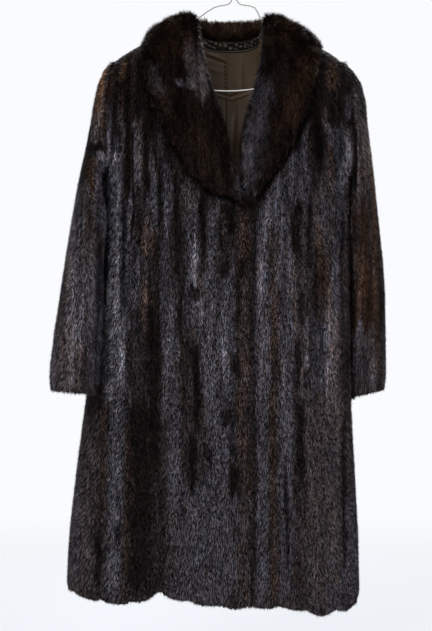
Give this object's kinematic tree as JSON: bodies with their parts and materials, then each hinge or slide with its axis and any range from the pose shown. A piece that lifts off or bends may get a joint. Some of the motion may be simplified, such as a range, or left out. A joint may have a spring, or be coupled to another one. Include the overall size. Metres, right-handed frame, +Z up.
{
  "type": "fur coat on wire hanger",
  "caption": "Long dark-brown fur coat with a shawl collar and full sleeves, hanging closed on a white wire hanger.",
  "frame": {"origin": "inner top of the hanger's hook, where a rail carries it", "axes": "+X to the wearer's left, +Y to the coat's back, +Z up"},
  "size_m": [0.6567, 0.2513, 1.2663],
  "materials": {
    "dark_fur": "long glossy fur",
    "olive_satin": "satin weave",
    "white_wire": "semi-gloss coated"
  },
  "bodies": {
    "root": {"back": "dark_fur", "front_right": "dark_fur", "front_left": "dark_fur", "sleeve_right": "dark_fur", "sleeve_left": "dark_fur", "collar": "dark_fur", "lining_back": "olive_satin", "neck_band": "olive_satin", "neck_piping": "olive_satin", "hanger": "white_wire"}
  },
  "joints": []
}
